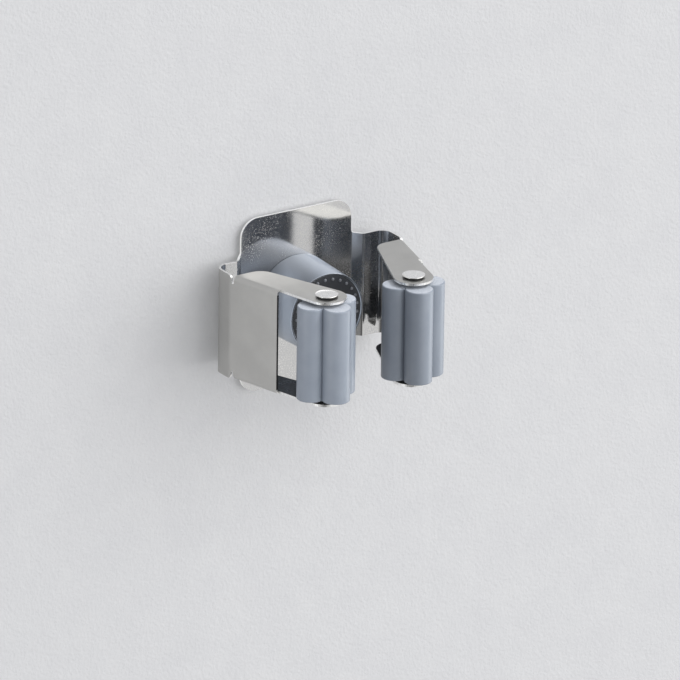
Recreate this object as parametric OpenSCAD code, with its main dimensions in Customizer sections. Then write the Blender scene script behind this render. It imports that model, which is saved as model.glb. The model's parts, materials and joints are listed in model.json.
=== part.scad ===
// Spring clip for the wall: a bent stainless bracket whose two arms carry
// lobed rollers that pinch a mop or broom handle against a round stop.
// The wall is the plane y = 0, the clip stands out towards -y and z is up.
// Plans are drawn with x across and the distance from the wall as second axis.

/* [Sheet metal] */
// Thickness of the stainless sheet
sheet_t = 0.8; // [0.6:0.1:1]
// Inner radius of the small folds in the step of each wing
fold_r = 0.6; // [0.4:0.1:1]
// Height of the wings and of the arms
clip_h = 36.6; // [32:0.2:42]

/* [Back panel] */
// Width of the flat panel between the steps
panel_w = 43.4; // [40:0.2:50]
// Height of the panel with its upper and lower tabs
panel_h = 61.6; // [56:0.2:72]
// Corner radius of the tabs
tab_r = 6.5; // [3:0.5:9]
// Fillet where a tab meets the wings
tab_fillet = 1.2; // [0.6:0.1:2]
// Distance that each wing stands forward of the panel
step_rise = 3.2; // [2.5:0.1:4.5]
// Slope of the step
step_turn = 50; // [40:1:65]
// Flat of the wing from the step to the flex line
wing_flat = 3.7; // [2.5:0.1:6]

/* [Wall pad] */
// Thickness of the foam adhesive pad
pad_t = 1.2; // [1.1:0.1:2]
// Margin of the pad inside the edge of the panel
pad_margin = 2; // [1:0.5:4]

/* [Arms] */
// Radial play of the flex line between wing and arm
flex_play = 0.05; // [0.03:0.01:0.08]
// Flat from the flex line to the corner bend
corner_lead = 0.6; // [0.5:0.1:1.5]
// Inner radius of the corner bend
corner_r = 3.6; // [2.5:0.1:5]
// Straight flange from the corner bend to the knee
flange_len = 4.5; // [3:0.1:7]
// Inward lean of the arm
arm_lean = 14.5; // [10:0.5:18]
// Inner radius of the knee
knee_r = 6; // [4:0.5:9]
// Width of the relief notch behind the ears
notch_w = 1.2; // [0.8:0.1:2]
// Depth of the relief notch
notch_d = 2.2; // [2:0.1:4]
// Corner radius of the flange at the notch
notch_corner_r = 1.4; // [0.6:0.1:2]
// Length of the web from the notch to its front edge
web_len = 19.4; // [15:0.2:21]

/* [Ears] */
// Outer radius of the fold from web to ear
ear_fold_r = 1.6; // [1.4:0.1:2.2]
// Radius of the ear around the rivet
ear_r = 6.6; // [5.5:0.1:8]
// Distance from the knee to the rivet along the arm
ear_reach = 35.2; // [33.5:0.1:42]
// Radius of the rounded heel of the ear
heel_r = 5.5; // [4:0.5:7]
// Distance of the heel's centre from the ear fold
heel_in = 4.2; // [3:0.1:6]

/* [Rollers] */
// Radius of each lobe of a roller
lobe_r = 4.7; // [4.6:0.1:5.8]
// Distance of the lobes from the roller's axis
lobe_d = 6; // [5:0.1:6.2]
// Number of lobes
lobes = 4; // [4:1:5]
// Rounding of the roller's rims
rim_r = 0.4; // [0.3:0.1:1]
// Turn of the left roller's lobes at rest
left_turn = 1; // [0:1:89]
// Turn of the right roller's lobes at rest
right_turn = 15; // [0:1:89]
// Gap between the roller and the upper ear
gap_above = 1.2; // [0.8:0.1:2]
// Gap between the roller and the lower ear
gap_below = 1.1; // [0.3:0.1:2]
// Outer radius of the sleeve inside the roller
core_r = 3.8; // [3.5:0.1:4.4]
// End play of the sleeve at each ear
core_play = 0.15; // [0.1:0.05:0.3]
// Assembly gap between roller and sleeve
core_fit = 0.02; // [0.01:0.01:0.05]

/* [Rivets] */
// Radius of the rivet's shank
rivet_r = 2.4; // [2:0.1:3]
// Running clearance of the sleeve on the shank
run_fit = 0.05; // [0.02:0.01:0.08]
// Clearance of the shank in the ears
ear_fit = 0.03; // [0.02:0.01:0.06]
// Radius of the rivet's upper head
head_r = 3.8; // [3.5:0.1:4.5]
// Radius of the neck between the upper head and the ear
neck_r = 3.1; // [3.1:0.1:3.4]
// Height of that neck
neck_h = 0.6; // [0.2:0.1:0.8]
// Thickness of the upper head at its rim
head_t = 0.3; // [0.2:0.1:1]
// Crown of the upper head above its rim
head_crown = 0.6; // [0.2:0.1:0.8]
// Radius of the upset lower head
tail_r = 3.3; // [3.2:0.1:3.8]
// Thickness of the upset lower head
tail_t = 0.8; // [0.6:0.1:1.4]

/* [Handle stop] */
// Radius of the stop at the panel
stop_base_r = 14.8; // [13:0.1:16]
// Radius of the stop at its front rim
stop_front_r = 14.2; // [12.5:0.1:14.8]
// Length of the stop from the panel to its front rim
stop_len = 19.2; // [16:0.2:21]
// Width of the rim around the face pad
stop_rim = 0.7; // [0.6:0.1:1.2]
// Rounding of the rim's outer edge
stop_edge_r = 0.4; // [0.2:0.1:0.5]
// Thickness of the face pad
face_t = 2; // [1.5:0.1:3]
// Assembly gap round the face pad
face_fit = 0.05; // [0.03:0.01:0.1]
// Depth of the face below the rim
face_drop = 0.2; // [0.1:0.1:0.5]
// Radius of the ring of nubs on the face
nub_ring_r = 12; // [9:0.1:12.4]
// Radius of each nub
nub_r = 0.55; // [0.4:0.05:0.8]
// Number of nubs
nubs = 25; // [16:1:30]
// Radius of the stop's own rivet
stop_rivet_r = 2; // [1.5:0.1:2.5]
// Radius of that rivet's two heads
stop_head_r = 4.5; // [3.6:0.1:6]
// Thickness of that rivet's two heads
stop_head_t = 0.8; // [0.5:0.1:0.9]
// Clearance round that rivet
stop_rivet_fit = 0.1; // [0.05:0.05:0.3]
// Gap behind that rivet's rear head, in the wall pad
stop_head_gap = 0.1; // [0.05:0.05:0.15]

/* [Hidden] */
$fn = 64;
// Facets of the crowns of the rivets, which are cut from a large sphere
crown_fn = 128;
// Largest turn of one facet in a bend of the sheet
bend_step = 5;
// Length by which a cut runs past the surface that it opens
overrun = 1;
// Lap of a tab's fillet over the sides of its corner
fillet_lap = 1;
// Least corner radius of the wall pad
pad_min_r = 1;

// Sheet planes, measured out from the wall.
panel_mid = pad_t + sheet_t / 2;
panel_front = pad_t + sheet_t;
wing_mid = panel_mid + step_rise;

// The step: a pair of equal and opposite folds with a slope between them.
fold_mid_r = fold_r + sheet_t / 2;
step_slope = (step_rise - 2 * fold_mid_r * (1 - cos(step_turn))) / sin(step_turn);
step_run = 2 * fold_mid_r * sin(step_turn) + step_slope * cos(step_turn);

// Flex line, where wing and arm meet.
flex_x = panel_w / 2 + step_run + wing_flat;
socket_r = sheet_t / 2 + flex_play;

// Corner bend, flange and knee of the arm.
corner_mid_r = corner_r + sheet_t / 2;
knee_mid_r = knee_r + sheet_t / 2;
flange_x = flex_x + corner_lead + corner_mid_r;
flange_end = wing_mid + corner_mid_r + flange_len;
knee_x = flange_x - knee_mid_r * (1 - cos(arm_lean));
knee_out = flange_end + knee_mid_r * sin(arm_lean);

// Flex line and front edge of the web in the arm's own plan, where p runs along
// the web from the end of the knee and q runs inwards from mid sheet.
flex_at = [
    (flex_x - knee_x) * -sin(arm_lean) + (wing_mid - knee_out) * cos(arm_lean),
    (flex_x - knee_x) * -cos(arm_lean) - (wing_mid - knee_out) * sin(arm_lean)
];
web_front = notch_w + web_len;

// Ear in the same plan.
ear_q = ear_fold_r - sheet_t / 2;
rivet_p = ear_reach;
rivet_q = ear_q + ear_r;
heel_q = ear_q + heel_in;
heel_back_q = heel_q + heel_r * sin(arm_lean);
heel_p = notch_w + (heel_back_q - ear_q) * tan(arm_lean) + heel_r * cos(arm_lean);
ear_span = [rivet_p - heel_p, rivet_q - heel_q];
edge_turn = atan2(ear_span[1], ear_span[0]) + acos((heel_r - ear_r) / norm(ear_span));
edge_n = [cos(edge_turn), sin(edge_turn)];

// Roller axis in the clip's plan.
axis_x = knee_x - rivet_p * sin(arm_lean) - rivet_q * cos(arm_lean);
axis_out = knee_out + rivet_p * cos(arm_lean) - rivet_q * sin(arm_lean);

// Heights between and beyond the ears.
ear_inside = clip_h - 2 * sheet_t;
core_h = ear_inside - 2 * core_play;
roller_h = ear_inside - gap_above - gap_below;
roller_z = (gap_below - gap_above) / 2;

// Handle stop.
face_r = stop_front_r - stop_rim;
stop_front = panel_front + stop_len;
face_seat = stop_front - face_drop - face_t;
tail_seat = face_seat - stop_head_t;

// Turns a plan of x and distance out from the wall into the clip's frame.
module plan() {
    mirror([0, 1, 0]) children();
}

// Places a piece on the left, as the mirror image of the right.
module left() {
    mirror([1, 0, 0]) children();
}

// Axis that stands out from the wall, for pieces of the stop.
module outward() {
    rotate([90, 0, 0]) children();
}

// Arm's own plan, from the end of the knee along the web.
module along_arm() {
    translate([knee_x, knee_out, 0]) rotate(90 + arm_lean) children();
}

// Left-hand normal of a heading.
function normal(head) = [-sin(head), cos(head)];

// Face of a bent strip in plan, at an offset from mid sheet. Each leg of the path
// is a straight [length, 0] or a bend [mid radius, turn].
function face(path, offset, pos, head, i = 0) =
    i == len(path) ? [pos + offset * normal(head)] :
    path[i][1] == 0 ? concat(
        [pos + offset * normal(head)],
        face(path, offset, pos + path[i][0] * normal(head - 90), head, i + 1)
    ) :
    let (
        turn = path[i][1],
        reach = sign(turn) * path[i][0],
        centre = pos + reach * normal(head),
        n = ceil(abs(turn) / bend_step)
    )
    concat(
        [for (k = [0 : n - 1]) centre + (offset - reach) * normal(head + turn * k / n)],
        face(path, offset, centre - reach * normal(head + turn), head + turn, i + 1)
    );

function backwards(points) = [for (i = [len(points) - 1 : -1 : 0]) points[i]];

function flipped(points) = [for (i = [len(points) - 1 : -1 : 1]) [-points[i][0], points[i][1]]];

// Rectangle with round corners, centred.
module round_rect(w, h, r) {
    square([w - 2 * r, h], center = true);
    square([w, h - 2 * r], center = true);
    for (x = [-1, 1], y = [-1, 1]) {
        translate([x * (w / 2 - r), y * (h / 2 - r)]) circle(r);
    }
}

// Concave fillet that fills the corner at the origin, lapped over both sides.
module corner_fillet(r, lap = 0) {
    difference() {
        translate([-lap, -lap]) square(r + lap);
        translate([r, r]) circle(r);
    }
}

// Front outline of the plate: tabbed panel, wings and fillets between them.
module plate_outline() {
    round_rect(panel_w, panel_h, tab_r);
    square([2 * (flex_x + sheet_t), clip_h], center = true);
    for (x = [0, 1], y = [0, 1]) {
        mirror([x, 0]) mirror([0, y])
            translate([panel_w / 2, clip_h / 2]) corner_fillet(tab_fillet, fillet_lap);
    }
}

// Plan of the plate's strip: panel, steps and wings, on both sides of the middle.
module plate_plan() {
    wing_path = [
        [panel_w / 2, 0],
        [fold_mid_r, step_turn],
        [step_slope, 0],
        [fold_mid_r, -step_turn],
        [wing_flat, 0]
    ];
    front = face(wing_path, sheet_t / 2, [0, panel_mid], 0);
    back = face(wing_path, -sheet_t / 2, [0, panel_mid], 0);
    polygon(concat(front, backwards(back), backwards(flipped(back)), flipped(front)));
}

module back_plate() {
    color("silver") plan() difference() {
        intersection() {
            union() {
                linear_extrude(panel_h, center = true) plate_plan();
                for (x = [-flex_x, flex_x]) {
                    translate([x, wing_mid, 0])
                        cylinder(r = sheet_t / 2, h = panel_h, center = true);
                }
            }
            mirror([0, 1, 0]) outward() linear_extrude(wing_mid + sheet_t) plate_outline();
        }
        mirror([0, 1, 0]) outward()
            cylinder(r = stop_rivet_r + stop_rivet_fit, h = panel_front + overrun);
    }
}

// Foam adhesive pad, with a pocket in its front for the rear head of the stop's rivet.
module wall_pad() {
    pad_corner_r = max(tab_r - pad_margin, pad_min_r);
    color("whitesmoke") outward() difference() {
        linear_extrude(pad_t)
            round_rect(panel_w - 2 * pad_margin, panel_h - 2 * pad_margin, pad_corner_r);
        translate([0, 0, pad_t - stop_head_t - stop_head_gap])
            cylinder(r = stop_head_r + stop_rivet_fit, h = stop_head_t + stop_head_gap + overrun);
    }
}

// Plan of the arm's strip in its own frame, from the flex line to the front edge.
module arm_plan() {
    arm_path = [
        [corner_lead, 0],
        [corner_mid_r, 90],
        [flange_len, 0],
        [knee_mid_r, arm_lean],
        [web_front, 0]
    ];
    outside = face(arm_path, -sheet_t / 2, flex_at, -90 - arm_lean);
    inside = face(arm_path, sheet_t / 2, flex_at, -90 - arm_lean);
    polygon(concat(outside, backwards(inside)));
}

// Plan of an ear: round nose at the rivet, straight edges and rounded heel.
module ear_plan() {
    nose = [rivet_p, rivet_q];
    heel = [heel_p, heel_q];
    translate(nose) circle(ear_r);
    intersection() {
        translate(heel) circle(heel_r);
        translate([notch_w, ear_q]) square([ear_reach, 4 * heel_r]);
    }
    polygon([
        [notch_w, -sheet_t / 2],
        [web_front, -sheet_t / 2],
        [web_front, ear_q],
        [rivet_p, ear_q],
        nose + ear_r * edge_n,
        heel + heel_r * edge_n,
        [heel_p - heel_r * cos(arm_lean), heel_back_q],
        [notch_w, ear_q]
    ]);
}

// Profile in q and z, run along the web.
module along_web() {
    translate([notch_w, 0, 0]) rotate([90, 0, 90]) linear_extrude(web_len) children();
}

// Relief notch between flange and ear, with a round foot and eased corner.
module relief_notch() {
    foot = clip_h / 2 - notch_d;
    outward() linear_extrude(4 * sheet_t, center = true) {
        translate([notch_w / 2, foot]) circle(notch_w / 2);
        translate([0, foot]) square([notch_w, notch_d + overrun]);
        translate([0, clip_h / 2]) mirror([1, 1]) corner_fillet(notch_corner_r);
    }
}

module right_arm() {
    color("lightgray") plan() along_arm() difference() {
        union() {
            linear_extrude(clip_h, center = true) arm_plan();
            for (z = [0, 1]) {
                mirror([0, 0, z]) {
                    translate([0, 0, clip_h / 2 - sheet_t]) linear_extrude(sheet_t) ear_plan();
                    along_web() translate([sheet_t / 2, clip_h / 2 - sheet_t])
                        mirror([0, 1]) corner_fillet(ear_fold_r - sheet_t, sheet_t / 4);
                }
            }
        }
        for (z = [0, 1]) {
            mirror([0, 0, z]) {
                along_web() translate([-sheet_t / 2, clip_h / 2])
                    mirror([0, 1]) corner_fillet(ear_fold_r);
                relief_notch();
            }
        }
        translate(flex_at) cylinder(r = socket_r, h = clip_h + overrun, center = true);
        translate([rivet_p, rivet_q, 0])
            cylinder(r = rivet_r + ear_fit, h = clip_h + overrun, center = true);
    }
}

// Rivet in the arm: crowned upper head on a short neck, plain shank and upset lower head.
module right_rivet() {
    top = clip_h / 2;
    crown_r = (head_r * head_r + head_crown * head_crown) / (2 * head_crown);
    color("gainsboro") plan() translate([axis_x, axis_out, 0]) {
        cylinder(r = rivet_r, h = clip_h, center = true);
        translate([0, 0, top]) cylinder(r = neck_r, h = neck_h + head_t / 2);
        translate([0, 0, top + neck_h]) intersection() {
            cylinder(r = head_r, h = head_t + head_crown);
            translate([0, 0, head_t + head_crown - crown_r]) sphere(crown_r, $fn = crown_fn);
        }
        translate([0, 0, -top - tail_t]) cylinder(r1 = tail_r - tail_t / 2, r2 = tail_r, h = tail_t);
    }
}

// Sleeve that runs on the rivet and carries the rubber.
module right_core() {
    color("dimgray") plan() translate([axis_x, axis_out, 0]) difference() {
        cylinder(r = core_r, h = core_h, center = true);
        cylinder(r = rivet_r + run_fit, h = core_h + overrun, center = true);
    }
}

// One lobe of a roller, with rounded rims.
module lobe() {
    rotate_extrude() {
        translate([0, -roller_h / 2]) square([lobe_r - rim_r, roller_h]);
        translate([0, rim_r - roller_h / 2]) square([lobe_r, roller_h - 2 * rim_r]);
        for (s = [-1, 1]) {
            translate([lobe_r - rim_r, s * (roller_h / 2 - rim_r)]) circle(rim_r);
        }
    }
}

// Rubber roller of equal lobes round the sleeve.
module roller(turn) {
    color("lightslategray") plan() translate([axis_x, axis_out, roller_z]) rotate(turn) difference() {
        union() {
            for (i = [0 : lobes - 1]) {
                rotate(i * 360 / lobes) translate([lobe_d, 0, 0]) lobe();
            }
        }
        cylinder(r = core_r + core_fit, h = roller_h + overrun, center = true);
    }
}

module right_roller() {
    roller(right_turn);
}

// Tapered round stop, hollowed at the front for its face pad.
module stop_body() {
    color("lightslategray") outward() difference() {
        rotate_extrude() difference() {
            union() {
                polygon([
                    [0, panel_front],
                    [stop_base_r, panel_front],
                    [stop_front_r, stop_front - stop_edge_r],
                    [0, stop_front - stop_edge_r]
                ]);
                translate([0, panel_front + overrun])
                    square([stop_front_r - stop_edge_r, stop_len - overrun]);
                translate([stop_front_r - stop_edge_r, stop_front - stop_edge_r])
                    circle(stop_edge_r);
            }
            translate([-overrun, face_seat]) square([face_r + overrun, stop_len]);
        }
        cylinder(r = stop_rivet_r + stop_rivet_fit, h = stop_front);
        translate([0, 0, tail_seat]) cylinder(r = stop_head_r + stop_rivet_fit, h = stop_len);
    }
}

// Dark face pad with its ring of nubs.
module stop_pad() {
    color("darkslategray") outward() {
        translate([0, 0, face_seat]) cylinder(r = face_r - face_fit, h = face_t);
        for (i = [0 : nubs - 1]) {
            rotate((i + 0.5) * 360 / nubs)
                translate([nub_ring_r, 0, face_seat + face_t]) sphere(nub_r);
        }
    }
}

// Rivet that clamps the stop to the plate, with a flat head at either end.
module stop_rivet() {
    color("gainsboro") outward() {
        translate([0, 0, pad_t - stop_head_t]) cylinder(r = stop_head_r, h = stop_head_t);
        translate([0, 0, pad_t]) cylinder(r = stop_rivet_r, h = tail_seat - pad_t);
        translate([0, 0, tail_seat]) cylinder(r = stop_head_r, h = stop_head_t);
    }
}

module left_arm() {
    left() right_arm();
}

module left_rivet() {
    left() right_rivet();
}

module left_core() {
    left() right_core();
}

module left_roller() {
    left() roller(left_turn);
}

wall_pad();
back_plate();
stop_body();
stop_pad();
stop_rivet();
left_arm();
left_rivet();
left_core();
left_roller();
right_arm();
right_rivet();
right_core();
right_roller();
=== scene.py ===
"""Looks of a sprung handle clip: bent sheet, rubber rollers, round stop and rivets."""

import json
import math

import bmesh
import bpy
from mathutils import Matrix, Vector


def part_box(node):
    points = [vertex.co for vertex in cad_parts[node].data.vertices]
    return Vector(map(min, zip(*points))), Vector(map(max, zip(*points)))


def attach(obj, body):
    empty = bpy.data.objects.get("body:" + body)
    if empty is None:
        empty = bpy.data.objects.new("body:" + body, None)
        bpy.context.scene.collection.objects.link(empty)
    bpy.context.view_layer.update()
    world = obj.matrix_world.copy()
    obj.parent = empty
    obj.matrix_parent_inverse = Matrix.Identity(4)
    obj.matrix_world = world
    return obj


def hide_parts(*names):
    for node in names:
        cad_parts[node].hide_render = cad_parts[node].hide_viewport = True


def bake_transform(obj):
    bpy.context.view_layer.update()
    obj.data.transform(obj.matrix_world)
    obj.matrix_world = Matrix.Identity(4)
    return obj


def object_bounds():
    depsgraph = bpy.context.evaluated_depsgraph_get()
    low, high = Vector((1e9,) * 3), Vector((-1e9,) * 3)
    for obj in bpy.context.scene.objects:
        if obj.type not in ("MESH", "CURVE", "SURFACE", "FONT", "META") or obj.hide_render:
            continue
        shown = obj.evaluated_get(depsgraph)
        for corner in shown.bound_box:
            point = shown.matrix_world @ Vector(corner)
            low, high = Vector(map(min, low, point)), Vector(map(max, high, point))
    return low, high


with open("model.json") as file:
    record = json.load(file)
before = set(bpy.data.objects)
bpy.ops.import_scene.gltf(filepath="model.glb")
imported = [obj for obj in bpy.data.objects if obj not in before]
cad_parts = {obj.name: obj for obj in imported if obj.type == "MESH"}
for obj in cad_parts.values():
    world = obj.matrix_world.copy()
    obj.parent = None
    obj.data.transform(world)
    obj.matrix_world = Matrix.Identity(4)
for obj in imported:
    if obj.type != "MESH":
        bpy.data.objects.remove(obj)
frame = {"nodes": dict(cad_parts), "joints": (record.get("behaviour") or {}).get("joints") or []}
cad_low, cad_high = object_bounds()

MM = 0.001

# Sheet, in millimetres and degrees
SHEET_T = 0.8
FOLD_R = 0.6
PANEL_W = 43.4
TAB_R = 6.5
TAB_FILLET = 1.2
STEP_TURN = 50
STEP_RISE = 3.2
WING_FLAT = 3.7
CORNER_LEAD = 0.6
CORNER_R = 3.6
FLANGE_LEN = 4.5
ARM_LEAN = 14.5
KNEE_R = 6
NOTCH_W = 1.2
NOTCH_D = 2.2
NOTCH_CORNER_R = 1.4
WEB_LEN = 19.4
EAR_FOLD_R = 1.6
EAR_R = 6.6
EAR_REACH = 35.2
HEEL_R = 5.5
HEEL_IN = 4.2
EDGE_EASE = 0.14

# Places of a sheet's finishes in its list of materials; the last two are painted dark, as painted shade
# and as a painted dark reflection
INNER_FACE = 0
OUTER_FACE = 1
CUT_FACE = 2
SHADE_PAINTED_CUT_FACE = 3
REFLECTION_PAINTED_FACE = 4

# Rollers and rivets, in millimetres and degrees
LOBE_R = 4.7
LOBE_D = 6
LOBES = 4
RIM_R = 0.4
LEFT_TURN = 1
RIGHT_TURN = 15
BORE_R = 3.82
RIVET_R = 2.4
HEAD_R = 3.8
NECK_R = 3.1
NECK_H = 0.6
HEAD_CROWN = 0.6
HEAD_EDGE_R = 0.1
HEAD_EDGE_END = 75
TAIL_R = 3.3
TAIL_EDGE_R = 0.25
TAIL_EDGE_END = -20

# Handle stop, in millimetres and degrees
STOP_BASE_R = 14.8
STOP_FRONT_R = 14.2
STOP_RIM = 0.7
STOP_EDGE_R = 0.4
STOP_FOOT_R = 0.25
STOP_FOOT_START = -75
FACE_DROP = 0.2
FACE_FIT = 0.05
FACE_EDGE_R = 0.15
NUB_RING_R = 12
NUB_R = 0.55
NUBS = 25

# Foam pad, in millimetres; its side is given as inset and share of its thickness
PAD_CORNER_R = 4.5
PAD_POCKET_GAP = 0.1
PAD_HEAD_GAP = 0.1
PAD_SIDE = [(0.3, 0), (0.1, 0.12), (0, 0.35), (0, 0.65), (0.1, 0.88), (0.3, 1)]

# Fineness of round forms, in degrees of one step
BEND_STEP = 5
EAR_FOLD_STEP = 10
ARC_STEP = 6
EDGE_STEP = 15
CROWN_STEP = 1

# Fineness of round forms, in steps
LATHE_SEGMENTS = 128
RIVET_SEGMENTS = 64
LOBE_STEPS = 40
EASE_STEPS = 3
NUB_SEGMENTS = 20
NUB_RINGS = 12

# Edges that turn further than this, in degrees, are sharp in a mesh or eased on a sheet
SHARP_TURN = 35
EASED_TURN = 40

# Least part of a face's normal along a direction for the face to count as facing that way
LEVEL_SLOPE = 0.95
FRONT_SLOPE = 0.9
DARK_RIM_SLOPE = 0.85

# Distances within which points lie on a cut, a seam or a level, in millimetres
CUT_SNAP = 1e-4
SNAP = 1e-3

# Backdrop, in metres; a ray that starts nearer to it passes through
BACKDROP_HALF = 4.0
BACKDROP_BEHIND = 0.0003
BACKDROP_NEAR = 0.006

# Surroundings: strength as light on the object, colours, and the dark side that metal mirrors
WORLD_FILL = 0.62
WORLD_BELOW = (0.80, 0.79, 0.77)
WORLD_ABOVE = (0.95, 0.97, 1.0)
DARK_SIDE = (-0.707, -0.707, 0.035)
DARK_FROM = 0.72
DARK_FULL = 0.9
DARK_LEVEL = 0.12

# Identifiers of the sockets by which a mix node mixes two colours
MIX_COLOUR_SOCKETS = ("Factor_Float", "A_Color", "B_Color")

# Lamps: distance in metres and colour of those that are linked to pieces
LAMP_DISTANCE = 3.0
LAMP_COLOUR = (0.98, 0.99, 1.0)


# Places taken from the frame, in millimetres
def joint(name):
    return next(j for j in frame["joints"] if j["name"] == name)


def box_mm(node):
    low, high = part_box(node)
    return low / MM, high / MM


flex = joint("right_flex")["pos_m"]
roll = joint("right_roll")["pos_m"]
flex_x, wing_mid = flex[0] / MM, -flex[1] / MM
axis_x, axis_out = roll[0] / MM, -roll[1] / MM
clip_h = 2 * box_mm("right_arm")[1].z
panel_h = 2 * box_mm("back_plate")[1].z
panel_front = -box_mm("stop_body")[1].y
stop_front = -box_mm("stop_body")[0].y
face_back = -box_mm("stop_pad")[1].y
face_front = stop_front - FACE_DROP
roller_low, roller_high = (v.z for v in box_mm("right_roller"))
rivet_low, rivet_high = (v.z for v in box_mm("right_rivet"))
stop_rivet_r = box_mm("stop_rivet")[1].x
pocket_depth = box_mm("stop_rivet")[1].y - box_mm("wall_pad")[0].y + PAD_HEAD_GAP


def to_world(x, out, z):
    """A point in metres from millimetres across, out from the mounting plane and up."""
    return Vector((x, -out, z)) * MM


def heading_vector(degrees):
    """Unit vector in a plane at an angle from its first axis."""
    return Vector((math.cos(math.radians(degrees)), math.sin(math.radians(degrees))))


def arc(centre, radius, start, end, step=ARC_STEP, count=0):
    """Points of an arc in a plane, both ends included, by a step or by a fixed count of steps."""
    count = count or max(2, math.ceil(abs(end - start) / step))
    turns = [start + (end - start) * i / count for i in range(count + 1)]
    return [Vector(centre) + radius * heading_vector(t) for t in turns]


# Meshes
def new_piece(name, bm, materials):
    """A piece from a bmesh, smooth apart from its sharp edges."""
    for face in bm.faces:
        face.smooth = True
    for edge in bm.edges:
        if len(edge.link_faces) == 2:
            edge.smooth = edge.calc_face_angle() < math.radians(SHARP_TURN)
    mesh = bpy.data.meshes.new(name)
    bm.to_mesh(mesh)
    bm.free()
    for material in materials:
        mesh.materials.append(material)
    piece = bpy.data.objects.new(name, mesh)
    bpy.context.scene.collection.objects.link(piece)
    return piece


def bake_modifiers(piece):
    """Turns a piece's modifiers into mesh."""
    evaluated = piece.evaluated_get(bpy.context.evaluated_depsgraph_get())
    mesh = bpy.data.meshes.new_from_object(evaluated)
    piece.modifiers.clear()
    old = piece.data
    piece.data = mesh
    bpy.data.meshes.remove(old)
    mesh.name = piece.name


def bridge(bm, first, second):
    """Quads between two closed rings with as many vertices."""
    count = len(first)
    for i in range(count):
        k = (i + 1) % count
        bm.faces.new((first[i], first[k], second[k], second[i]))


def sort_mesh(bm):
    """Puts a mesh in order by place, so that it is listed the same on each run."""
    verts = sorted(bm.verts, key=lambda vert: vert.co[:])
    faces = sorted(bm.faces, key=lambda face: face.calc_center_median()[:])
    bm.verts.sort(key={vert: i for i, vert in enumerate(verts)}.get)
    bm.faces.sort(key={face: i for i, face in enumerate(faces)}.get)


def lathe(profile, place, segments=LATHE_SEGMENTS):
    """A closed solid turned from (radius, height) points that start and end on the axis."""
    bm = bmesh.new()
    rings = []
    for radius, height in profile[1:-1]:
        turns = [360 * i / segments for i in range(segments)]
        points = [radius * heading_vector(t) for t in turns]
        rings.append([bm.verts.new(place(p.x, p.y, height)) for p in points])
    for lower, upper in zip(rings, rings[1:]):
        bridge(bm, lower, upper)
    for ring, (_, height) in ((rings[0], profile[0]), (rings[-1], profile[-1])):
        tip = bm.verts.new(place(0, 0, height))
        for i in range(segments):
            bm.faces.new((ring[i], ring[(i + 1) % segments], tip))
    bmesh.ops.recalc_face_normals(bm, faces=bm.faces[:])
    return bm


# Bent sheet: a flat blank is cut along its bends, folded and given its thickness
def on_leg(leg, along):
    """Point and heading at a distance along one leg of a strip."""
    _, run, pos, heading, radius, turn = leg
    if not turn:
        return pos + along * heading_vector(heading), heading
    reach = math.copysign(radius, turn)
    centre = pos + reach * heading_vector(heading + 90)
    heading += turn * along / run
    return centre - reach * heading_vector(heading + 90), heading


def strip(legs, start):
    """Legs of a bent strip laid end to end from start, heading across.

    A leg is (length, 0) or (radius, turn).
    """
    laid = []
    pos, heading, s = Vector(start), 0, 0
    for size, turn in legs:
        run = abs(math.radians(turn)) * size if turn else size
        laid.append((s, run, pos, heading, size, turn))
        pos, heading = on_leg(laid[-1], run)
        s += run
    return laid


def on_strip(laid, s):
    """Point and heading at a distance along a whole strip."""
    leg = next((leg for leg in reversed(laid) if leg[0] <= s), laid[0])
    return on_leg(leg, s - leg[0])


def bend_lines(laid):
    """Distances along the strip where its blank is cut so that it can bend."""
    lines = []
    for s, run, _, _, _, turn in laid:
        count = math.ceil(abs(turn) / BEND_STEP)
        lines += [s + run * i / count for i in range(count + 1)] if turn else []
    return lines


def cut_blank(outline, s_lines, z_lines):
    """A flat face with the given outline, cut along both sets of lines."""
    bm = bmesh.new()
    face = bm.faces.new([bm.verts.new((s, z, 0)) for s, z in outline])
    face.normal_update()
    if face.normal.z < 0:
        face.normal_flip()
    for normal, lines in ((Vector((1, 0, 0)), s_lines), (Vector((0, 1, 0)), z_lines)):
        for line in lines:
            geometry = bm.verts[:] + bm.edges[:] + bm.faces[:]
            bmesh.ops.bisect_plane(
                bm, geom=geometry, dist=CUT_SNAP, plane_co=normal * line, plane_no=normal
            )
    return bm


def sheet_piece(name, bm, fold, seam_x, materials):
    """Folds a cut blank with fold(s, z), thickens it and eases its edges, but not its seam at seam_x."""
    for vert in bm.verts:
        vert.co = fold(vert.co.x, vert.co.y)
    piece = new_piece(name, bm, materials)
    solid = piece.modifiers.new("thickness", "SOLIDIFY")
    solid.thickness = SHEET_T * MM
    solid.offset = 0
    solid.use_even_offset = True
    solid.material_offset = OUTER_FACE
    solid.material_offset_rim = CUT_FACE
    bake_modifiers(piece)

    bm = bmesh.new()
    bm.from_mesh(piece.data)
    weight = bm.edges.layers.float.new("bevel_weight_edge")
    for edge in bm.edges:
        at_seam = all(abs(abs(v.co.x) - seam_x * MM) < SNAP * MM for v in edge.verts)
        turned = len(edge.link_faces) == 2 and edge.calc_face_angle() > math.radians(EASED_TURN)
        edge[weight] = float(turned and not at_seam)
        edge.smooth = not (turned and at_seam)
    bm.to_mesh(piece.data)
    bm.free()
    ease = piece.modifiers.new("ease", "BEVEL")
    ease.limit_method = "WEIGHT"
    ease.width = EDGE_EASE * MM
    ease.segments = EASE_STEPS
    shade = piece.modifiers.new("shade", "WEIGHTED_NORMAL")
    shade.keep_sharp = True
    bake_modifiers(piece)
    return piece


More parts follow.
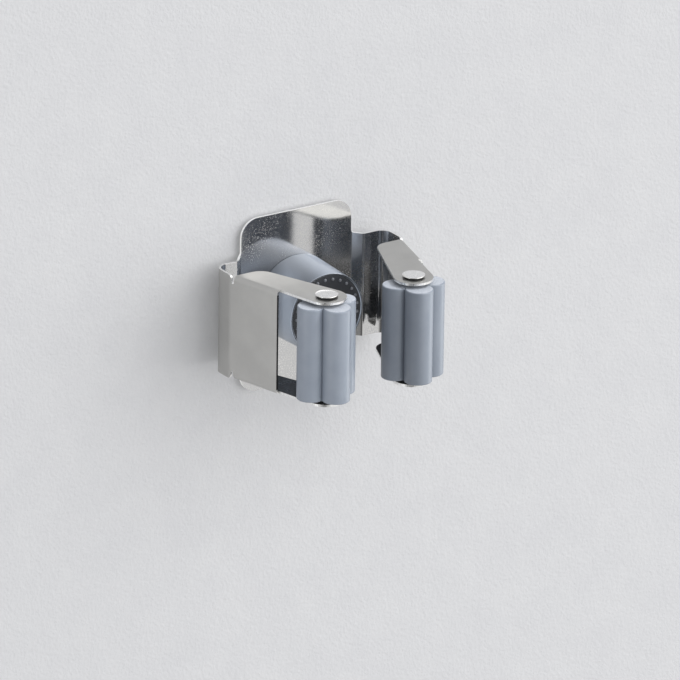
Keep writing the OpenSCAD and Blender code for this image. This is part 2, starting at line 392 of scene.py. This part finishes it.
fold_mid_r = FOLD_R + SHEET_T / 2
fold_rise = fold_mid_r * (1 - math.cos(math.radians(STEP_TURN)))
step_slope = (STEP_RISE - 2 * fold_rise) / math.sin(math.radians(STEP_TURN))
panel_mid = wing_mid - STEP_RISE
wing_x = flex_x - WING_FLAT
plate_legs = strip(
    [(PANEL_W / 2, 0), (fold_mid_r, STEP_TURN), (step_slope, 0), (fold_mid_r, -STEP_TURN)],
    (0, panel_mid),
)
arm_legs = strip(
    [
        (WING_FLAT + CORNER_LEAD, 0),
        (CORNER_R + SHEET_T / 2, 90),
        (FLANGE_LEN, 0),
        (KNEE_R + SHEET_T / 2, ARM_LEAN),
        (NOTCH_W + WEB_LEN, 0),
    ],
    (wing_x, wing_mid),
)


def plate_outline():
    """Blank of the plate, from one wing to the other."""
    end = plate_legs[-1][0] + plate_legs[-1][1]
    top, shoulder = panel_h / 2, clip_h / 2
    corner = (PANEL_W / 2 - TAB_R, top - TAB_R)
    fillet = (PANEL_W / 2 + TAB_FILLET, shoulder + TAB_FILLET)
    quarter = arc(corner, TAB_R, 90, 0) + arc(fillet, TAB_FILLET, 180, 270)
    quarter += [Vector((end, shoulder))]
    lower = [Vector((p.x, -p.y)) for p in reversed(quarter)]
    half = quarter + lower
    return half + [Vector((-p.x, p.y)) for p in reversed(half)]


def fold_plate(s, z):
    """Place of a point of the plate's blank once it is folded."""
    point, _ = on_strip(plate_legs, abs(s))
    return to_world(math.copysign(point.x, s), point.y, z)


web_s = arm_legs[-1][0]
web_front = NOTCH_W + WEB_LEN
ear_mid_r = EAR_FOLD_R - SHEET_T / 2
fold_z = clip_h / 2 - EAR_FOLD_R
ear_z = fold_z + ear_mid_r * math.pi / 2


def ear_points():
    """Edge of an ear along the web and inwards from its fold, from the notch round to the front."""
    lean = math.radians(ARM_LEAN)
    heel = Vector((0, HEEL_IN))
    heel.x = NOTCH_W + (HEEL_IN + HEEL_R * math.sin(lean)) * math.tan(lean) + HEEL_R * math.cos(lean)
    nose = Vector((EAR_REACH, EAR_R))
    span = nose - heel
    edge = math.degrees(math.atan2(span.y, span.x) + math.acos((HEEL_R - EAR_R) / span.length))
    back = arc(heel, HEEL_R, 180 - ARM_LEAN, edge)
    return [Vector((NOTCH_W, 0))] + back + arc(nose, EAR_R, edge, -90) + [Vector((web_front, 0))]


def arm_outline():
    """Blank of an arm: wing, corner, flange and web with an ear above and below."""
    top = clip_h / 2
    foot = Vector((web_s + NOTCH_W / 2, top - NOTCH_D))
    corner = (web_s - NOTCH_CORNER_R, top - NOTCH_CORNER_R)
    upper = [Vector((0, top))] + arc(corner, NOTCH_CORNER_R, 90, 0)
    upper += arc(foot, NOTCH_W / 2, 180, 360, step=EDGE_STEP)
    upper += [Vector((web_s + p.x, ear_z + p.y)) for p in ear_points()]
    return upper + [Vector((p.x, -p.y)) for p in reversed(upper)]


def fold_arm(s, z, side):
    """Place of a point of an arm's blank once it is folded."""
    point, heading = on_strip(arm_legs, s)
    past = abs(z) - fold_z
    if s < web_s + NOTCH_W / 2 or past <= 0:
        return to_world(side * point.x, point.y, z)
    turn = min(past / ear_mid_r, math.pi / 2)
    inwards = ear_mid_r * (1 - math.cos(turn)) + max(0, past - ear_mid_r * math.pi / 2)
    point = point + inwards * heading_vector(heading + 90)
    return to_world(side * point.x, point.y, math.copysign(fold_z + ear_mid_r * math.sin(turn), z))


def make_plate(materials):
    """Panel of the sheet with a stepped wing on either side."""
    lines = bend_lines(plate_legs)
    bm = cut_blank(plate_outline(), lines + [-s for s in lines], [])
    piece = sheet_piece("plate_sheet", bm, fold_plate, wing_x, materials)
    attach(piece, "bracket")
    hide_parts("back_plate")


def darken_web_front(piece, side):
    """Paints the sheared front edge of a web, between the ears, dark as a painted dark reflection."""
    _, heading = on_strip(arm_legs, web_s + web_front)
    front = heading_vector(heading)
    ahead = to_world(side * front.x, front.y, 0).normalized()
    for face in piece.data.polygons:
        between_ears = abs(face.center.z) < (fold_z - NOTCH_D) * MM
        faces_front = face.normal.dot(ahead) > FRONT_SLOPE
        if face.material_index == CUT_FACE and between_ears and faces_front:
            face.material_index = SHADE_PAINTED_CUT_FACE


def darken_lower_ear(piece):
    """Paints the upper face of a lower ear dark, as painted shade and a painted dark reflection."""
    for face in piece.data.polygons:
        faces_up = face.normal.z > LEVEL_SLOPE
        if face.material_index == INNER_FACE and faces_up and face.center.z < 0:
            face.material_index = REFLECTION_PAINTED_FACE


def make_arm(name, side, materials):
    """One arm of the sheet, folded from its blank; on the real clip the arm bends where it springs."""
    folds = [fold_z + ear_mid_r * math.radians(t) for t in range(0, 91, EAR_FOLD_STEP)]
    bm = cut_blank(arm_outline(), bend_lines(arm_legs), folds + [-z for z in folds])
    if side < 0:
        bmesh.ops.reverse_faces(bm, faces=bm.faces[:])
    piece = sheet_piece(name + "_sheet", bm, lambda s, z: fold_arm(s, z, side), wing_x, materials)
    darken_web_front(piece, side)
    darken_lower_ear(piece)
    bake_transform(piece)
    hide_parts(name)


# Rollers, rivets, stop and pad
def lobed_ring(lobe_r, turn):
    """Outline of a roller's section, lobe by lobe from groove to groove."""
    half = math.pi / LOBES
    groove = LOBE_D * math.cos(half) + math.sqrt(lobe_r**2 - (LOBE_D * math.sin(half)) ** 2)
    point = groove * Vector((math.cos(half), math.sin(half))) - Vector((LOBE_D, 0))
    reach = math.degrees(math.atan2(point.y, point.x))
    ring = []
    for i in range(LOBES):
        lobe = arc((LOBE_D, 0), lobe_r, -reach, reach, count=LOBE_STEPS)[:-1]
        spin = Matrix.Rotation(math.radians(turn + i * 360 / LOBES), 2)
        ring += [spin @ p for p in lobe]
    return ring


def make_roller(name, side, turn, materials):
    """A lobed tube with rounded rims and paler cut ends, their paleness partly painted top light, round
    the sleeve's bore.
    """
    angles = [math.radians(t) for t in range(0, 91, EDGE_STEP)]
    rims = [(RIM_R * (1 - math.sin(t)), RIM_R * (1 - math.cos(t))) for t in angles]
    sections = [(inset, roller_low + rise) for inset, rise in rims]
    sections += [(inset, roller_high - rise) for inset, rise in reversed(rims)]
    bm = bmesh.new()

    def ring_at(points, z):
        return [bm.verts.new(to_world(side * (axis_x + p.x), axis_out + p.y, z)) for p in points]

    outside = [ring_at(lobed_ring(LOBE_R - inset, turn), z) for inset, z in sections]
    bore = [p.normalized() * BORE_R for p in lobed_ring(LOBE_R - RIM_R, turn)]
    low, high = ring_at(bore, roller_low), ring_at(bore, roller_high)
    rings = [low] + outside + [high, low]
    for first, second in zip(rings, rings[1:]):
        bridge(bm, first, second)
    bmesh.ops.recalc_face_normals(bm, faces=bm.faces[:])
    # End faces take the paler rubber, partly painted top light.
    for face in bm.faces:
        face.material_index = int(abs(face.normal.z) > LEVEL_SLOPE)
    piece = new_piece(name + "_rubber", bm, materials)
    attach(piece, name)
    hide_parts(name)
    return piece


def make_rivet(name, side, body, materials):
    """Rivet with a crowned head above the arm, a neck under it painted dark as painted shade, and an upset
    tail below.
    """
    top, bottom = clip_h / 2, -clip_h / 2
    rim = rivet_high - HEAD_CROWN
    head_in = HEAD_R - HEAD_EDGE_R
    crown_r = (HEAD_R**2 + HEAD_CROWN**2) / (2 * HEAD_CROWN)
    spread = math.degrees(math.asin(head_in / crown_r))
    tail_in = TAIL_R - (bottom - rivet_low) / 2
    tail_edge = (tail_in - TAIL_EDGE_R, rivet_low + TAIL_EDGE_R)
    lower_edge = (head_in, top + NECK_H + HEAD_EDGE_R)
    upper_edge = (head_in, rim - HEAD_EDGE_R)
    profile = [Vector((0, rivet_low))]
    profile += arc(tail_edge, TAIL_EDGE_R, -90, TAIL_EDGE_END, step=EDGE_STEP)
    profile += [Vector((TAIL_R, bottom)), Vector((RIVET_R, bottom)), Vector((RIVET_R, top))]
    profile += [Vector((NECK_R, top)), Vector((NECK_R, top + NECK_H))]
    profile += arc(lower_edge, HEAD_EDGE_R, -90, 0, step=EDGE_STEP)
    profile += arc(upper_edge, HEAD_EDGE_R, 0, HEAD_EDGE_END, step=EDGE_STEP)
    profile += arc((0, rivet_high - crown_r), crown_r, 90 - spread, 90, step=CROWN_STEP)[1:]

    def on_axis(x, y, z):
        return to_world(side * (axis_x + x), axis_out + y, z)

    bm = lathe([tuple(p) for p in profile], on_axis, RIVET_SEGMENTS)
    # The neck faces under the head get the painted shade.
    for face in bm.faces:
        heights = [v.co.z / MM for v in face.verts]
        under_head = min(heights) > top - SNAP and max(heights) < top + NECK_H + SNAP
        face.material_index = int(under_head)
    piece = new_piece(name + "_turned", bm, materials)
    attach(piece, body)
    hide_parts(name)


def stop_place(x, y, out):
    """A point of a form that is turned about the stop's axis."""
    return to_world(x, out, y)


def make_stop(body_material, face_material):
    """Tapered stop with a recess for its face and a rounded rim, whose front-facing part takes the face's
    dark rubber.
    """
    recess_r = STOP_FRONT_R - STOP_RIM
    foot_in = STOP_BASE_R - STOP_FOOT_R
    foot = (foot_in, panel_front + STOP_FOOT_R)
    outer_edge = (STOP_FRONT_R - STOP_EDGE_R, stop_front - STOP_EDGE_R)
    inner_r = STOP_RIM - STOP_EDGE_R
    inner_edge = (recess_r + inner_r, stop_front - inner_r)
    profile = [Vector((0, panel_front)), Vector((foot_in, panel_front))]
    profile += arc(foot, STOP_FOOT_R, STOP_FOOT_START, 0, step=EDGE_STEP)
    profile += arc(outer_edge, STOP_EDGE_R, 0, 90, step=EDGE_STEP)
    profile += arc(inner_edge, inner_r, 90, 180, step=EDGE_STEP)[1:]
    profile += [Vector((recess_r, face_back)), Vector((0, face_back))]
    bm = lathe([tuple(p) for p in profile], stop_place)
    for face in bm.faces:
        face.material_index = int(face.normal.y < -DARK_RIM_SLOPE)
    piece = new_piece("stop_moulding", bm, [body_material, face_material])
    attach(piece, "bracket")
    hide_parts("stop_body")
    return piece


def make_stop_face(face_material, nub_material):
    """Dark face in the stop's recess with a ring of paler nubs."""
    pad_r = STOP_FRONT_R - STOP_RIM - FACE_FIT
    edge = (pad_r - FACE_EDGE_R, face_front - FACE_EDGE_R)
    profile = [Vector((0, face_back)), Vector((pad_r, face_back))]
    profile += arc(edge, FACE_EDGE_R, 0, 90, step=2 * EDGE_STEP)
    profile += [Vector((NUB_RING_R, face_front)), Vector((0, face_front))]
    bm = lathe([tuple(p) for p in profile], stop_place)
    for i in range(NUBS):
        spot = NUB_RING_R * heading_vector((i + 0.5) * 360 / NUBS)
        place = Matrix.Translation(stop_place(spot.x, spot.y, face_front))
        made = bmesh.ops.create_uvsphere(
            bm, u_segments=NUB_SEGMENTS, v_segments=NUB_RINGS, radius=NUB_R * MM, matrix=place
        )
        for face in {face for vert in made["verts"] for face in vert.link_faces}:
            face.material_index = 1
    sort_mesh(bm)
    piece = new_piece("stop_face", bm, [face_material, nub_material])
    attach(piece, "bracket")
    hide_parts("stop_pad")


def make_pad(material):
    """Foam pad with slightly bulged sides and a pocket for the rear head of the stop's rivet."""
    low, high = box_mm("wall_pad")
    corner = Vector((high.x - PAD_CORNER_R, high.z - PAD_CORNER_R))
    spots = [(1, 1, 0), (-1, 1, 90), (-1, -1, 180), (1, -1, 270)]
    bm = bmesh.new()

    def ring_at(points, out):
        return [bm.verts.new(to_world(p.x, out, p.y)) for p in points]

    def outline(inset):
        points = []
        for x, z, start in spots:
            points += arc((x * corner.x, z * corner.y), PAD_CORNER_R - inset, start, start + 90)
        return points

    front = -low.y
    pocket_r = stop_rivet_r + PAD_POCKET_GAP
    pocket = [p.normalized() * pocket_r for p in outline(0)]
    rings = [ring_at(outline(inset), front * share) for inset, share in PAD_SIDE]
    rings += [ring_at(pocket, front), ring_at(pocket, front - pocket_depth)]
    for first, second in zip(rings, rings[1:]):
        bridge(bm, first, second)
    bm.faces.new(rings[0])
    bm.faces.new(rings[-1])
    bmesh.ops.recalc_face_normals(bm, faces=bm.faces[:])
    piece = new_piece("wall_pad_foam", bm, [material])
    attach(piece, "bracket")
    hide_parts("wall_pad")
    return piece


def dress_node(name, material):
    """Gives a frame node that stays in view its finish."""
    mesh = frame["nodes"][name].data
    mesh.materials.clear()
    mesh.materials.append(material)


# Materials
class Shader:
    """A node material around one principled shader."""

    def __init__(self, name, **sockets):
        self.material = bpy.data.materials.new(name)
        self.material.use_nodes = True
        self.tree = self.material.node_tree
        self.bsdf = self.tree.nodes["Principled BSDF"]
        for key, value in sockets.items():
            self.bsdf.inputs[key.replace("_", " ")].default_value = value

    def node(self, kind, **settings):
        made = self.tree.nodes.new(kind)
        for key, value in settings.items():
            if key in made.inputs:
                made.inputs[key].default_value = value
            else:
                setattr(made, key, value)
        return made

    def link(self, source, target):
        self.tree.links.new(source, target)

    def coords(self, stretch=(1, 1, 1)):
        """Object coordinates, stretched along the axes."""
        place = self.node("ShaderNodeTexCoord")
        mapping = self.node("ShaderNodeMapping", Scale=stretch)
        self.link(place.outputs["Object"], mapping.inputs["Vector"])
        return mapping.outputs["Vector"]

    def noise(self, scale, detail=4.0, stretch=(1, 1, 1), rough=0.55):
        made = self.node("ShaderNodeTexNoise", Scale=scale, Detail=detail, Roughness=rough)
        self.link(self.coords(stretch), made.inputs["Vector"])
        return made.outputs["Fac"]

    def remap(self, value, low, high, out_low, out_high):
        made = self.node("ShaderNodeMapRange")
        made.inputs["From Min"].default_value = low
        made.inputs["From Max"].default_value = high
        made.inputs["To Min"].default_value = out_low
        made.inputs["To Max"].default_value = out_high
        self.link(value, made.inputs["Value"])
        return made.outputs["Result"]

    def combine(self, operation, first, second):
        made = self.node("ShaderNodeMath", operation=operation)
        for socket, value in zip(made.inputs, (first, second)):
            if isinstance(value, (int, float)):
                socket.default_value = value
            else:
                self.link(value, socket)
        return made.outputs["Value"]

    def bump(self, height, distance, strength=1.0, under=None):
        made = self.node("ShaderNodeBump", Strength=strength, Distance=distance)
        self.link(height, made.inputs["Height"])
        if under is not None:
            self.link(under, made.inputs["Normal"])
        return made.outputs["Normal"]

    def put(self, socket, value):
        self.link(value, self.bsdf.inputs[socket])

    def colour(self, value, *stops):
        """Base colour along a ramp of two stops, each a position and a colour."""
        made = self.node("ShaderNodeValToRGB")
        for element, (at, colour) in zip(made.color_ramp.elements, stops):
            element.position = at
            element.color = (*colour, 1)
        self.link(value, made.inputs["Fac"])
        self.put("Base Color", made.outputs["Color"])

    def roughness(self, value, low, high, smooth, rough):
        """Roughness from smooth to rough as a value goes from low to high."""
        self.put("Roughness", self.remap(value, low, high, smooth, rough))

    def relief(self, height, distance, strength=1.0, under=None):
        """Surface relief of a height, over another relief if there is one under it."""
        self.put("Normal", self.bump(height, distance, strength, under))


def polished_steel():
    """Mirror side of the sheet, dulled by speckle and fine scratches."""
    shader = Shader("polished_steel", Metallic=1.0)
    speckle = shader.noise(2400, detail=2)
    scratch = shader.noise(90, detail=5, stretch=(1, 1, 60))
    cloud = shader.noise(140, detail=3)
    patch = shader.noise(60, detail=2)
    shader.colour(speckle, (0.35, (0.58, 0.58, 0.59)), (0.65, (0.665, 0.66, 0.65)))
    fine = shader.remap(speckle, 0.4, 0.7, 0.03, 0.07)
    broad = shader.remap(cloud, 0.3, 0.7, 0.01, 0.06)
    sheen = shader.combine("ADD", fine, broad)
    pit = shader.remap(speckle, 0.52, 0.66, 0, 0.26)
    worn = shader.remap(patch, 0.4, 0.65, 0.15, 1)
    pits = shader.combine("MULTIPLY", pit, worn)
    shader.put("Roughness", shader.combine("ADD", sheen, pits))
    wave = shader.bump(cloud, 0.00002)
    shader.relief(scratch, 0.000004, under=wave)
    return shader.material


def satin_steel():
    """Outer side of the sheet, rolled to an even satin."""
    shader = Shader("satin_steel", Metallic=1.0)
    grain = shader.noise(900, detail=5, stretch=(0.12, 0.12, 6))
    cloud = shader.noise(110, detail=3)
    shader.colour(cloud, (0.3, (0.50, 0.495, 0.478)), (0.7, (0.55, 0.545, 0.525)))
    shader.roughness(grain, 0.3, 0.7, 0.3, 0.42)
    shader.relief(grain, 0.000006)
    return shader.material


def cut_steel():
    """Sheared edge of the sheet, bright with fine drag lines."""
    shader = Shader("cut_steel", Metallic=1.0)
    drag = shader.noise(2500, detail=3, stretch=(1, 1, 0.2))
    shader.colour(drag, (0.3, (0.80, 0.80, 0.79)), (0.7, (0.94, 0.94, 0.93)))
    shader.roughness(drag, 0.3, 0.7, 0.22, 0.4)
    shader.relief(drag, 0.000004)
    return shader.material


def rivet_steel():
    """Tumbled rivet, bright with small nicks."""
    shader = Shader("rivet_steel", Metallic=1.0)
    nick = shader.noise(2200, detail=4)
    shader.colour(nick, (0.35, (0.82, 0.82, 0.81)), (0.6, (0.93, 0.93, 0.92)))
    shader.roughness(nick, 0.35, 0.65, 0.16, 0.28)
    shader.relief(nick, 0.00001)
    return shader.material


def shade_painted_steel():
    """Steel under a rivet's head and at a web's front edge, painted dark: painted shade under the head, a
    painted dark reflection on the edge.
    """
    shader = Shader("shade_painted_steel", Metallic=0.5)
    shade_paint = shader.noise(1800, detail=3)
    shader.colour(shade_paint, (0.3, (0.02, 0.02, 0.022)), (0.7, (0.06, 0.06, 0.062)))
    shader.roughness(shade_paint, 0.3, 0.7, 0.5, 0.7)
    shader.relief(shade_paint, 0.00001)
    return shader.material


def reflection_painted_steel():
    """Upper face of a lower ear, painted dark as shade and as a dark reflection."""
    shader = Shader("reflection_painted_steel", Metallic=1.0)
    reflection_paint = shader.noise(1400, detail=3)
    cloud = shader.noise(220, detail=3)
    shader.colour(reflection_paint, (0.3, (0.07, 0.072, 0.076)), (0.7, (0.14, 0.142, 0.146)))
    shader.roughness(cloud, 0.3, 0.7, 0.22, 0.4)
    shader.relief(reflection_paint, 0.000004)
    return shader.material


def rubber(name, dark, light, roughness):
    """Moulded rubber with a fine skin and faint blooming."""
    shader = Shader(name, Specular_IOR_Level=0.6)
    skin = shader.noise(3000, detail=3)
    bloom = shader.noise(160, detail=4)
    shader.colour(bloom, (0.3, dark), (0.7, light))
    shader.roughness(bloom, 0.3, 0.7, roughness - 0.05, roughness + 0.05)
    shader.relief(skin, 0.000003)
    return shader.material


def end_rubber_painted_light():
    """Sawn end of a roller, paler than its moulded skin, partly as painted light from above, with bright
    grain.
    """
    shader = Shader("end_rubber_painted_light", Specular_IOR_Level=0.5)
    grain = shader.noise(2600, detail=3)
    cloud = shader.noise(300, detail=3)
    shader.colour(grain, (0.35, (0.36, 0.39, 0.44)), (0.68, (0.48, 0.505, 0.55)))
    shader.roughness(cloud, 0.3, 0.7, 0.45, 0.6)
    shader.relief(grain, 0.00003)
    return shader.material


def sleeve_plastic():
    """Plain moulded sleeve with faint turning lines."""
    shader = Shader("sleeve_plastic")
    line = shader.noise(1500, detail=2, stretch=(0.3, 0.3, 3))
    shader.colour(line, (0.3, (0.20, 0.21, 0.22)), (0.7, (0.27, 0.28, 0.30)))
    shader.roughness(line, 0.3, 0.7, 0.45, 0.55)
    shader.relief(line, 0.00001)
    return shader.material


def foam():
    """Fine-celled adhesive foam."""
    shader = Shader("adhesive_foam")
    cell = shader.node("ShaderNodeTexVoronoi", Scale=3500)
    shader.link(shader.coords(), cell.inputs["Vector"])
    distance = cell.outputs["Distance"]
    shader.colour(distance, (0.0, (0.60, 0.60, 0.58)), (0.6, (0.80, 0.80, 0.78)))
    shader.roughness(distance, 0, 0.7, 0.75, 0.95)
    shader.relief(distance, 0.00008)
    return shader.material


def backdrop_paint():
    """Pale paint with a fine roller texture, clear from behind and to rays from the part's own rear."""
    shader = Shader("backdrop_paint", Specular_IOR_Level=0.25, Roughness=0.8)
    grain = shader.noise(900, detail=3)
    swell = shader.noise(160, detail=5, rough=0.7)
    tone = shader.noise(60, detail=6, rough=0.7)
    shader.colour(tone, (0.3, (0.780, 0.785, 0.81)), (0.7, (0.82, 0.825, 0.845)))
    texture = shader.bump(swell, 0.0005, strength=0.5)
    shader.relief(grain, 0.0004, strength=0.6, under=texture)
    geometry = shader.node("ShaderNodeNewGeometry")
    clear = shader.node("ShaderNodeBsdfTransparent")
    mix = shader.node("ShaderNodeMixShader")
    path = shader.node("ShaderNodeLightPath")
    near = shader.combine("LESS_THAN", path.outputs["Ray Length"], BACKDROP_NEAR)
    passes = shader.combine("MAXIMUM", geometry.outputs["Backfacing"], near)
    shader.link(passes, mix.inputs["Fac"])
    shader.link(shader.bsdf.outputs["BSDF"], mix.inputs[1])
    shader.link(clear.outputs["BSDF"], mix.inputs[2])
    shader.link(mix.outputs["Shader"], shader.tree.nodes["Material Output"].inputs["Surface"])
    return shader.material


# Stage, light and camera
def make_backdrop():
    """Plain upright surface just behind the mounting plane."""
    half = BACKDROP_HALF
    bm = bmesh.new()
    corners = [(-half, -half), (half, -half), (half, half), (-half, half)]
    bm.faces.new([bm.verts.new((x, BACKDROP_BEHIND, z)) for x, z in corners])
    backdrop = new_piece("backdrop", bm, [backdrop_paint()])
    return backdrop


def direction(azimuth, elevation):
    """Unit vector away from the object. Azimuth 0 is straight out, positive to the right."""
    turn, rise = math.radians(azimuth), math.radians(elevation)
    return Vector((math.sin(turn) * math.cos(rise), -math.cos(turn) * math.cos(rise), math.sin(rise)))


def area_light(name, azimuth, elevation, distance, size, radiance, colour):
    """A square soft box that looks at the object."""
    data = bpy.data.lights.new(name, "AREA")
    data.size = size
    data.energy = radiance * math.pi * size * size
    data.color = colour
    lamp = bpy.data.objects.new(name, data)
    bpy.context.scene.collection.objects.link(lamp)
    back = direction(azimuth, elevation)
    lamp.location = (cad_low + cad_high) / 2 + back * distance
    lamp.rotation_mode = "QUATERNION"
    lamp.rotation_quaternion = back.to_track_quat("Z", "Y")
    lamp.visible_camera = False
    return lamp


def linked(name, pieces, state):
    """A collection that takes pieces in or out of a lamp's light or shadow."""
    made = bpy.data.collections.new(name)
    for piece in pieces:
        made.objects.link(piece)
    for entry in made.collection_objects:
        entry.light_linking.link_state = state
    return made


def link_light(lamp, name, pieces, state):
    """Keeps a lamp's light to the pieces, or off them."""
    lamp.light_linking.receiver_collection = linked(name + "_receivers", pieces, state)


def make_world():
    """Pale surroundings, brighter above, that fill the shadows and show in the metal.

    Mirrored rays also meet a dark side, low at the front left.
    """
    world = bpy.data.worlds.new("studio")
    bpy.context.scene.world = world
    world.use_nodes = True
    tree = world.node_tree
    background = tree.nodes["Background"]

    def node(kind, operation=None, **inputs):
        made = tree.nodes.new(kind)
        if operation:
            made.operation = operation
        for key, value in inputs.items():
            made.inputs[key.replace("_", " ")].default_value = value
        return made

    def join(source, target):
        tree.links.new(source, target)

    place = node("ShaderNodeTexCoord")
    split = node("ShaderNodeSeparateXYZ")
    join(place.outputs["Generated"], split.inputs["Vector"])
    height = node("ShaderNodeMapRange", From_Min=-1)
    join(split.outputs["Z"], height.inputs["Value"])
    ramp = node("ShaderNodeValToRGB")
    for element, colour in zip(ramp.color_ramp.elements, (WORLD_BELOW, WORLD_ABOVE)):
        element.color = (*colour, 1)
    join(height.outputs["Result"], ramp.inputs["Fac"])

    towards = node("ShaderNodeVectorMath", "DOT_PRODUCT")
    towards.inputs[1].default_value = Vector(DARK_SIDE).normalized()
    join(place.outputs["Generated"], towards.inputs[0])
    shade = node("ShaderNodeMapRange", From_Min=DARK_FROM, From_Max=DARK_FULL, To_Min=1, To_Max=DARK_LEVEL)
    join(towards.outputs["Value"], shade.inputs["Value"])
    tint = node("ShaderNodeVectorMath", "SCALE")
    join(ramp.outputs["Color"], tint.inputs[0])
    join(shade.outputs["Result"], tint.inputs["Scale"])

    path = node("ShaderNodeLightPath")
    mirrored = node("ShaderNodeMath", "MAXIMUM")
    join(path.outputs["Is Glossy Ray"], mirrored.inputs[0])
    join(path.outputs["Is Transmission Ray"], mirrored.inputs[1])
    mix = node("ShaderNodeMix")
    mix.data_type = "RGBA"
    sockets = {socket.identifier: socket for socket in mix.inputs}
    factor, plain, darkened = (sockets[name] for name in MIX_COLOUR_SOCKETS)
    join(mirrored.outputs["Value"], factor)
    join(ramp.outputs["Color"], plain)
    join(tint.outputs["Vector"], darkened)
    mixed = next(socket for socket in mix.outputs if socket.identifier == "Result_Color")
    join(mixed, background.inputs["Color"])

    seen = node("ShaderNodeMath", "MAXIMUM")
    join(mirrored.outputs["Value"], seen.inputs[0])
    join(path.outputs["Is Camera Ray"], seen.inputs[1])
    strength = node("ShaderNodeMapRange", To_Min=WORLD_FILL, To_Max=1.0)
    join(seen.outputs["Value"], strength.inputs["Value"])
    join(strength.outputs["Result"], background.inputs["Strength"])


def make_camera():
    """Long lens to the left of the object and above it."""
    azimuth, elevation, roll_turn = -33.23, 21.5, 0.72
    distance, sensor = 3.0, 36.0
    frame_pixels, pixels_per_mm = 680, 3.0
    view_width = frame_pixels / pixels_per_mm * MM
    look_right, look_down = 14.75 * MM, 14.72 * MM
    turn, tilt = math.radians(azimuth), math.radians(roll_turn)
    back = direction(azimuth, elevation)
    level = Vector((math.cos(turn), math.sin(turn), 0))
    upright = back.cross(level)
    right = level * math.cos(tilt) + upright * math.sin(tilt)
    up = upright * math.cos(tilt) - level * math.sin(tilt)
    target = to_world(0, panel_front, 0) + right * look_right - up * look_down
    data = bpy.data.cameras.new("camera")
    data.sensor_width = sensor
    data.lens = sensor * distance / view_width
    camera = bpy.data.objects.new("camera", data)
    bpy.context.scene.collection.objects.link(camera)
    turned = Matrix((right, up, back)).transposed().to_4x4()
    camera.matrix_world = Matrix.Translation(target + back * distance) @ turned
    bpy.context.scene.camera = camera


make_camera()
sheet_faces = [polished_steel(), satin_steel(), cut_steel()]
make_plate(sheet_faces)
grey = rubber("grey_rubber", (0.200, 0.226, 0.270), (0.222, 0.250, 0.294), 0.36)
slate = rubber("slate_rubber", (0.030, 0.033, 0.040), (0.040, 0.043, 0.050), 0.55)
bright = rivet_steel()
# Painted shade under rivet heads and on web front edges, and a painted dark reflection on lower ears
shade_paint = shade_painted_steel()
# Painted dark reflection on the upper faces of the lower ears
reflection_paint = reflection_painted_steel()
sleeve = sleeve_plastic()
roller_faces = [grey, end_rubber_painted_light()]
rollers = {}
for side_name, side, turn in (("left", -1, LEFT_TURN), ("right", 1, RIGHT_TURN)):
    make_arm(side_name + "_arm", side, sheet_faces + [shade_paint, reflection_paint])
    rollers[side_name] = make_roller(side_name + "_roller", side, turn, roller_faces)
    make_rivet(side_name + "_rivet", side, side_name + "_arm", [bright, shade_paint])
    dress_node(side_name + "_core", sleeve)
nub = rubber("nub_rubber", (0.22, 0.23, 0.26), (0.30, 0.31, 0.34), 0.36)
stop = make_stop(grey, slate)
make_stop_face(slate, nub)
dress_node("stop_rivet", bright)
pad = make_pad(foam())

backdrop = make_backdrop()
make_world()
area_light("key", 42, 22, 4.0, 5.6, 1.3, (1.0, 0.99, 0.97))
both_rollers = list(rollers.values())
for name, azimuth, elevation, size, radiance, pieces, state in (
    ("right_strip", 80, -20, 1.2, 2.2, both_rollers, "INCLUDE"),
    ("roller_key", 20, 28, 2.6, 1.8, both_rollers, "INCLUDE"),
    ("roller_top", 60, 55, 0.4, 80.0, both_rollers, "INCLUDE"),
    ("left_roller_fill", -45, 10, 2.0, 1.6, [rollers["left"]], "INCLUDE"),
    ("left_strip", -80, 0, 1.5, 2.6, [backdrop, rollers["right"]], "EXCLUDE"),
    ("stop_key", 68, 18, 0.8, 110.0, [stop], "INCLUDE"),
    ("stop_side", -33, 0, 0.5, 185.0, [stop], "INCLUDE"),
):
    lamp = area_light(name, azimuth, elevation, LAMP_DISTANCE, size, radiance, LAMP_COLOUR)
    lamp.visible_glossy = name != "stop_side"
    link_light(lamp, name, pieces, state)
rear = area_light("rear", 180, 10, 2.0, 0.8, 4.0, (1.0, 1.0, 1.0))
link_light(rear, "rear", [pad], "INCLUDE")
rear.light_linking.blocker_collection = linked("rear_blockers", [backdrop], "EXCLUDE")
bpy.context.scene.view_settings.view_transform = "Standard"
